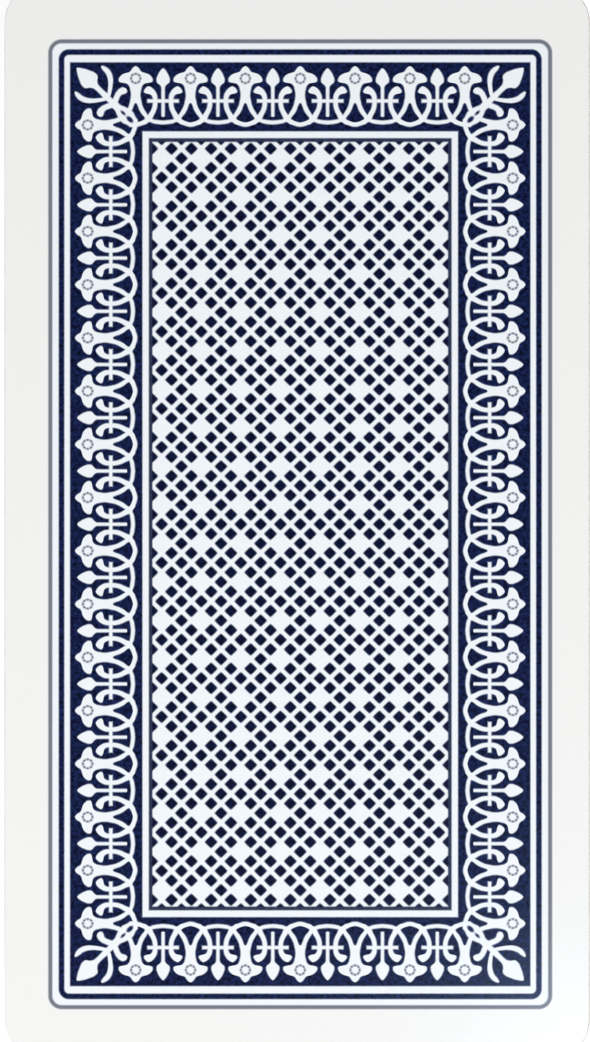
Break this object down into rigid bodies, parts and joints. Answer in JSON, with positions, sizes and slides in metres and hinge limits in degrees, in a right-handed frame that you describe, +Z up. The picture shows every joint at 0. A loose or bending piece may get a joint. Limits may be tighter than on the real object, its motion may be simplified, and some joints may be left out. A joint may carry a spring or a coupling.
{
  "type": "tarot card deck",
  "caption": "Squared deck of tall round-cornered tarot cards lying face down, printed with a navy trellis and lily-border back; the cards fan, cut, deal and turn over.",
  "frame": {"origin": "on the table, under the middle of the squared deck", "axes": "+Z up out of the top card's printed back, +Y along the cards, +X across them to the right as the picture shows the back"},
  "size_m": [0.0612, 0.1122, 0.0249],
  "materials": {
    "top_card": "satin",
    "card": "satin",
    "stock_packet": "matte"
  },
  "bodies": {
    "stock_packet": {"stock_packet": "stock_packet"},
    "card_59": {"card_59": "card"},
    "card_58": {"card_58": "card"},
    "card_57": {"card_57": "card"},
    "card_56": {"card_56": "card"},
    "card_55": {"card_55": "card"},
    "card_54": {"card_54": "card"},
    "card_53": {"card_53": "card"},
    "card_52": {"card_52": "card"},
    "card_51": {"card_51": "card"},
    "card_50": {"card_50": "card"},
    "card_49": {"card_49": "card"},
    "card_48": {"card_48": "card"},
    "card_47": {"card_47": "card"},
    "card_46": {"card_46": "card"},
    "card_45": {"card_45": "card"},
    "card_44": {"card_44": "card"},
    "card_43": {"card_43": "card"},
    "card_42": {"card_42": "card"},
    "card_41": {"card_41": "card"},
    "card_40": {"card_40": "card"},
    "card_39": {"card_39": "card"},
    "card_38": {"card_38": "card"},
    "card_37": {"card_37": "card"},
    "card_36": {"card_36": "card"},
    "card_35": {"card_35": "card"},
    "card_34": {"card_34": "card"},
    "card_33": {"card_33": "card"},
    "card_32": {"card_32": "card"},
    "card_31": {"card_31": "card"},
    "card_30": {"card_30": "card"},
    "card_29": {"card_29": "card"},
    "card_28": {"card_28": "card"},
    "card_27": {"card_27": "card"},
    "card_26": {"card_26": "card"},
    "card_25": {"card_25": "card"},
    "card_24": {"card_24": "card"},
    "card_23": {"card_23": "card"},
    "card_22": {"card_22": "card"},
    "card_21": {"card_21": "card"},
    "card_20": {"card_20": "card"},
    "card_19": {"card_19": "card"},
    "card_18": {"card_18": "card"},
    "card_17": {"card_17": "card"},
    "card_16": {"card_16": "card"},
    "card_15": {"card_15": "card"},
    "card_14": {"card_14": "card"},
    "card_13": {"card_13": "card"},
    "card_12": {"card_12": "card"},
    "card_11": {"card_11": "card"},
    "card_10": {"card_10": "card"},
    "card_09": {"card_09": "card"},
    "card_08": {"card_08": "card"},
    "card_07": {"card_07": "card"},
    "card_06": {"card_06": "card"},
    "card_05": {"card_05": "card"},
    "card_04": {"card_04": "card"},
    "card_03": {"card_03": "card"},
    "second_card": {"second_card": "card"},
    "top_card": {"top_card": "top_card"}
  },
  "joints": [
    {"name": "fan_card_59", "type": "hinge", "parent": "stock_packet", "child": "card_59", "pos_m": [0, -0.044, 0], "axis": [0, 0, -1], "range_deg": [0, 2]},
    {"name": "fan_card_58", "type": "hinge", "parent": "stock_packet", "child": "card_58", "pos_m": [0, -0.044, 0], "axis": [0, 0, -1], "range_deg": [0, 4]},
    {"name": "fan_card_57", "type": "hinge", "parent": "stock_packet", "child": "card_57", "pos_m": [0, -0.044, 0], "axis": [0, 0, -1], "range_deg": [0, 6]},
    {"name": "fan_card_56", "type": "hinge", "parent": "stock_packet", "child": "card_56", "pos_m": [0, -0.044, 0], "axis": [0, 0, -1], "range_deg": [0, 8]},
    {"name": "fan_card_55", "type": "hinge", "parent": "stock_packet", "child": "card_55", "pos_m": [0, -0.044, 0], "axis": [0, 0, -1], "range_deg": [0, 10]},
    {"name": "fan_card_54", "type": "hinge", "parent": "stock_packet", "child": "card_54", "pos_m": [0, -0.044, 0], "axis": [0, 0, -1], "range_deg": [0, 12]},
    {"name": "fan_card_53", "type": "hinge", "parent": "stock_packet", "child": "card_53", "pos_m": [0, -0.044, 0], "axis": [0, 0, -1], "range_deg": [0, 14]},
    {"name": "fan_card_52", "type": "hinge", "parent": "stock_packet", "child": "card_52", "pos_m": [0, -0.044, 0], "axis": [0, 0, -1], "range_deg": [0, 16]},
    {"name": "fan_card_51", "type": "hinge", "parent": "stock_packet", "child": "card_51", "pos_m": [0, -0.044, 0], "axis": [0, 0, -1], "range_deg": [0, 18]},
    {"name": "fan_card_50", "type": "hinge", "parent": "stock_packet", "child": "card_50", "pos_m": [0, -0.044, 0], "axis": [0, 0, -1], "range_deg": [0, 20]},
    {"name": "fan_card_49", "type": "hinge", "parent": "stock_packet", "child": "card_49", "pos_m": [0, -0.044, 0], "axis": [0, 0, -1], "range_deg": [0, 22]},
    {"name": "fan_card_48", "type": "hinge", "parent": "stock_packet", "child": "card_48", "pos_m": [0, -0.044, 0], "axis": [0, 0, -1], "range_deg": [0, 24]},
    {"name": "fan_card_47", "type": "hinge", "parent": "stock_packet", "child": "card_47", "pos_m": [0, -0.044, 0], "axis": [0, 0, -1], "range_deg": [0, 26]},
    {"name": "fan_card_46", "type": "hinge", "parent": "stock_packet", "child": "card_46", "pos_m": [0, -0.044, 0], "axis": [0, 0, -1], "range_deg": [0, 28]},
    {"name": "fan_card_45", "type": "hinge", "parent": "stock_packet", "child": "card_45", "pos_m": [0, -0.044, 0], "axis": [0, 0, -1], "range_deg": [0, 30]},
    {"name": "fan_card_44", "type": "hinge", "parent": "stock_packet", "child": "card_44", "pos_m": [0, -0.044, 0], "axis": [0, 0, -1], "range_deg": [0, 32]},
    {"name": "fan_card_43", "type": "hinge", "parent": "stock_packet", "child": "card_43", "pos_m": [0, -0.044, 0], "axis": [0, 0, -1], "range_deg": [0, 34]},
    {"name": "fan_card_42", "type": "hinge", "parent": "stock_packet", "child": "card_42", "pos_m": [0, -0.044, 0], "axis": [0, 0, -1], "range_deg": [0, 36]},
    {"name": "fan_card_41", "type": "hinge", "parent": "stock_packet", "child": "card_41", "pos_m": [0, -0.044, 0], "axis": [0, 0, -1], "range_deg": [0, 38]},
    {"name": "fan_card_40", "type": "hinge", "parent": "stock_packet", "child": "card_40", "pos_m": [0, -0.044, 0], "axis": [0, 0, -1], "range_deg": [0, 40]},
    {"name": "fan_card_39", "type": "hinge", "parent": "stock_packet", "child": "card_39", "pos_m": [0, -0.044, 0], "axis": [0, 0, -1], "range_deg": [0, 42]},
    {"name": "fan_card_38", "type": "hinge", "parent": "stock_packet", "child": "card_38", "pos_m": [0, -0.044, 0], "axis": [0, 0, -1], "range_deg": [0, 44]},
    {"name": "fan_card_37", "type": "hinge", "parent": "stock_packet", "child": "card_37", "pos_m": [0, -0.044, 0], "axis": [0, 0, -1], "range_deg": [0, 46]},
    {"name": "fan_card_36", "type": "hinge", "parent": "stock_packet", "child": "card_36", "pos_m": [0, -0.044, 0], "axis": [0, 0, -1], "range_deg": [0, 48]},
    {"name": "fan_card_35", "type": "hinge", "parent": "stock_packet", "child": "card_35", "pos_m": [0, -0.044, 0], "axis": [0, 0, -1], "range_deg": [0, 50]},
    {"name": "fan_card_34", "type": "hinge", "parent": "stock_packet", "child": "card_34", "pos_m": [0, -0.044, 0], "axis": [0, 0, -1], "range_deg": [0, 52]},
    {"name": "fan_card_33", "type": "hinge", "parent": "stock_packet", "child": "card_33", "pos_m": [0, -0.044, 0], "axis": [0, 0, -1], "range_deg": [0, 54]},
    {"name": "fan", "type": "hinge", "parent": "stock_packet", "child": "card_32", "pos_m": [0, -0.044, 0], "axis": [0, 0, -1], "range_deg": [0, 56]},
    {"name": "cut_lift", "type": "slide", "parent": "card_32", "child": "card_31", "axis": [0, 0, 1], "range_m": [0, 0.06]},
    {"name": "fan_card_30", "type": "hinge", "parent": "card_31", "child": "card_30", "pos_m": [0, -0.044, 0], "axis": [0, 0, -1], "range_deg": [0, 2]},
    {"name": "fan_card_29", "type": "hinge", "parent": "card_31", "child": "card_29", "pos_m": [0, -0.044, 0], "axis": [0, 0, -1], "range_deg": [0, 4]},
    {"name": "fan_card_28", "type": "hinge", "parent": "card_31", "child": "card_28", "pos_m": [0, -0.044, 0], "axis": [0, 0, -1], "range_deg": [0, 6]},
    {"name": "fan_card_27", "type": "hinge", "parent": "card_31", "child": "card_27", "pos_m": [0, -0.044, 0], "axis": [0, 0, -1], "range_deg": [0, 8]},
    {"name": "fan_card_26", "type": "hinge", "parent": "card_31", "child": "card_26", "pos_m": [0, -0.044, 0], "axis": [0, 0, -1], "range_deg": [0, 10]},
    {"name": "fan_card_25", "type": "hinge", "parent": "card_31", "child": "card_25", "pos_m": [0, -0.044, 0], "axis": [0, 0, -1], "range_deg": [0, 12]},
    {"name": "fan_card_24", "type": "hinge", "parent": "card_31", "child": "card_24", "pos_m": [0, -0.044, 0], "axis": [0, 0, -1], "range_deg": [0, 14]},
    {"name": "fan_card_23", "type": "hinge", "parent": "card_31", "child": "card_23", "pos_m": [0, -0.044, 0], "axis": [0, 0, -1], "range_deg": [0, 16]},
    {"name": "fan_card_22", "type": "hinge", "parent": "card_31", "child": "card_22", "pos_m": [0, -0.044, 0], "axis": [0, 0, -1], "range_deg": [0, 18]},
    {"name": "fan_card_21", "type": "hinge", "parent": "card_31", "child": "card_21", "pos_m": [0, -0.044, 0], "axis": [0, 0, -1], "range_deg": [0, 20]},
    {"name": "fan_card_20", "type": "hinge", "parent": "card_31", "child": "card_20", "pos_m": [0, -0.044, 0], "axis": [0, 0, -1], "range_deg": [0, 22]},
    {"name": "fan_card_19", "type": "hinge", "parent": "card_31", "child": "card_19", "pos_m": [0, -0.044, 0], "axis": [0, 0, -1], "range_deg": [0, 24]},
    {"name": "fan_card_18", "type": "hinge", "parent": "card_31", "child": "card_18", "pos_m": [0, -0.044, 0], "axis": [0, 0, -1], "range_deg": [0, 26]},
    {"name": "fan_card_17", "type": "hinge", "parent": "card_31", "child": "card_17", "pos_m": [0, -0.044, 0], "axis": [0, 0, -1], "range_deg": [0, 28]},
    {"name": "fan_card_16", "type": "hinge", "parent": "card_31", "child": "card_16", "pos_m": [0, -0.044, 0], "axis": [0, 0, -1], "range_deg": [0, 30]},
    {"name": "fan_card_15", "type": "hinge", "parent": "card_31", "child": "card_15", "pos_m": [0, -0.044, 0], "axis": [0, 0, -1], "range_deg": [0, 32]},
    {"name": "fan_card_14", "type": "hinge", "parent": "card_31", "child": "card_14", "pos_m": [0, -0.044, 0], "axis": [0, 0, -1], "range_deg": [0, 34]},
    {"name": "fan_card_13", "type": "hinge", "parent": "card_31", "child": "card_13", "pos_m": [0, -0.044, 0], "axis": [0, 0, -1], "range_deg": [0, 36]},
    {"name": "fan_card_12", "type": "hinge", "parent": "card_31", "child": "card_12", "pos_m": [0, -0.044, 0], "axis": [0, 0, -1], "range_deg": [0, 38]},
    {"name": "fan_card_11", "type": "hinge", "parent": "card_31", "child": "card_11", "pos_m": [0, -0.044, 0], "axis": [0, 0, -1], "range_deg": [0, 40]},
    {"name": "fan_card_10", "type": "hinge", "parent": "card_31", "child": "card_10", "pos_m": [0, -0.044, 0], "axis": [0, 0, -1], "range_deg": [0, 42]},
    {"name": "fan_card_09", "type": "hinge", "parent": "card_31", "child": "card_09", "pos_m": [0, -0.044, 0], "axis": [0, 0, -1], "range_deg": [0, 44]},
    {"name": "fan_card_08", "type": "hinge", "parent": "card_31", "child": "card_08", "pos_m": [0, -0.044, 0], "axis": [0, 0, -1], "range_deg": [0, 46]},
    {"name": "fan_card_07", "type": "hinge", "parent": "card_31", "child": "card_07", "pos_m": [0, -0.044, 0], "axis": [0, 0, -1], "range_deg": [0, 48]},
    {"name": "fan_card_06", "type": "hinge", "parent": "card_31", "child": "card_06", "pos_m": [0, -0.044, 0], "axis": [0, 0, -1], "range_deg": [0, 50]},
    {"name": "fan_card_05", "type": "hinge", "parent": "card_31", "child": "card_05", "pos_m": [0, -0.044, 0], "axis": [0, 0, -1], "range_deg": [0, 52]},
    {"name": "fan_card_04", "type": "hinge", "parent": "card_31", "child": "card_04", "pos_m": [0, -0.044, 0], "axis": [0, 0, -1], "range_deg": [0, 54]},
    {"name": "fan_card_03", "type": "hinge", "parent": "card_31", "child": "card_03", "pos_m": [0, -0.044, 0], "axis": [0, 0, -1], "range_deg": [0, 56]},
    {"name": "deal_slide", "type": "slide", "parent": "card_03", "child": "second_card", "axis": [0, 1, 0], "range_m": [0, 0.115]},
    {"name": "turn_over", "type": "hinge", "parent": "card_03", "child": "top_card", "pos_m": [0.0345, 0, 0.01247], "axis": [0, 1, 0], "range_deg": [0, 180]}
  ],
  "couplings": [
    {"joint": "fan_card_59", "follows": "fan", "ratio": 0.035714},
    {"joint": "fan_card_58", "follows": "fan", "ratio": 0.071429},
    {"joint": "fan_card_57", "follows": "fan", "ratio": 0.10714},
    {"joint": "fan_card_56", "follows": "fan", "ratio": 0.14286},
    {"joint": "fan_card_55", "follows": "fan", "ratio": 0.17857},
    {"joint": "fan_card_54", "follows": "fan", "ratio": 0.21429},
    {"joint": "fan_card_53", "follows": "fan", "ratio": 0.25},
    {"joint": "fan_card_52", "follows": "fan", "ratio": 0.28571},
    {"joint": "fan_card_51", "follows": "fan", "ratio": 0.32143},
    {"joint": "fan_card_50", "follows": "fan", "ratio": 0.35714},
    {"joint": "fan_card_49", "follows": "fan", "ratio": 0.39286},
    {"joint": "fan_card_48", "follows": "fan", "ratio": 0.42857},
    {"joint": "fan_card_47", "follows": "fan", "ratio": 0.46429},
    {"joint": "fan_card_46", "follows": "fan", "ratio": 0.5},
    {"joint": "fan_card_45", "follows": "fan", "ratio": 0.53571},
    {"joint": "fan_card_44", "follows": "fan", "ratio": 0.57143},
    {"joint": "fan_card_43", "follows": "fan", "ratio": 0.60714},
    {"joint": "fan_card_42", "follows": "fan", "ratio": 0.64286},
    {"joint": "fan_card_41", "follows": "fan", "ratio": 0.67857},
    {"joint": "fan_card_40", "follows": "fan", "ratio": 0.71429},
    {"joint": "fan_card_39", "follows": "fan", "ratio": 0.75},
    {"joint": "fan_card_38", "follows": "fan", "ratio": 0.78571},
    {"joint": "fan_card_37", "follows": "fan", "ratio": 0.82143},
    {"joint": "fan_card_36", "follows": "fan", "ratio": 0.85714},
    {"joint": "fan_card_35", "follows": "fan", "ratio": 0.89286},
    {"joint": "fan_card_34", "follows": "fan", "ratio": 0.92857},
    {"joint": "fan_card_33", "follows": "fan", "ratio": 0.96429},
    {"joint": "fan_card_30", "follows": "fan", "ratio": 0.035714},
    {"joint": "fan_card_29", "follows": "fan", "ratio": 0.071429},
    {"joint": "fan_card_28", "follows": "fan", "ratio": 0.10714},
    {"joint": "fan_card_27", "follows": "fan", "ratio": 0.14286},
    {"joint": "fan_card_26", "follows": "fan", "ratio": 0.17857},
    {"joint": "fan_card_25", "follows": "fan", "ratio": 0.21429},
    {"joint": "fan_card_24", "follows": "fan", "ratio": 0.25},
    {"joint": "fan_card_23", "follows": "fan", "ratio": 0.28571},
    {"joint": "fan_card_22", "follows": "fan", "ratio": 0.32143},
    {"joint": "fan_card_21", "follows": "fan", "ratio": 0.35714},
    {"joint": "fan_card_20", "follows": "fan", "ratio": 0.39286},
    {"joint": "fan_card_19", "follows": "fan", "ratio": 0.42857},
    {"joint": "fan_card_18", "follows": "fan", "ratio": 0.46429},
    {"joint": "fan_card_17", "follows": "fan", "ratio": 0.5},
    {"joint": "fan_card_16", "follows": "fan", "ratio": 0.53571},
    {"joint": "fan_card_15", "follows": "fan", "ratio": 0.57143},
    {"joint": "fan_card_14", "follows": "fan", "ratio": 0.60714},
    {"joint": "fan_card_13", "follows": "fan", "ratio": 0.64286},
    {"joint": "fan_card_12", "follows": "fan", "ratio": 0.67857},
    {"joint": "fan_card_11", "follows": "fan", "ratio": 0.71429},
    {"joint": "fan_card_10", "follows": "fan", "ratio": 0.75},
    {"joint": "fan_card_09", "follows": "fan", "ratio": 0.78571},
    {"joint": "fan_card_08", "follows": "fan", "ratio": 0.82143},
    {"joint": "fan_card_07", "follows": "fan", "ratio": 0.85714},
    {"joint": "fan_card_06", "follows": "fan", "ratio": 0.89286},
    {"joint": "fan_card_05", "follows": "fan", "ratio": 0.92857},
    {"joint": "fan_card_04", "follows": "fan", "ratio": 0.96429},
    {"joint": "fan_card_03", "follows": "fan", "ratio": 1}
  ]
}
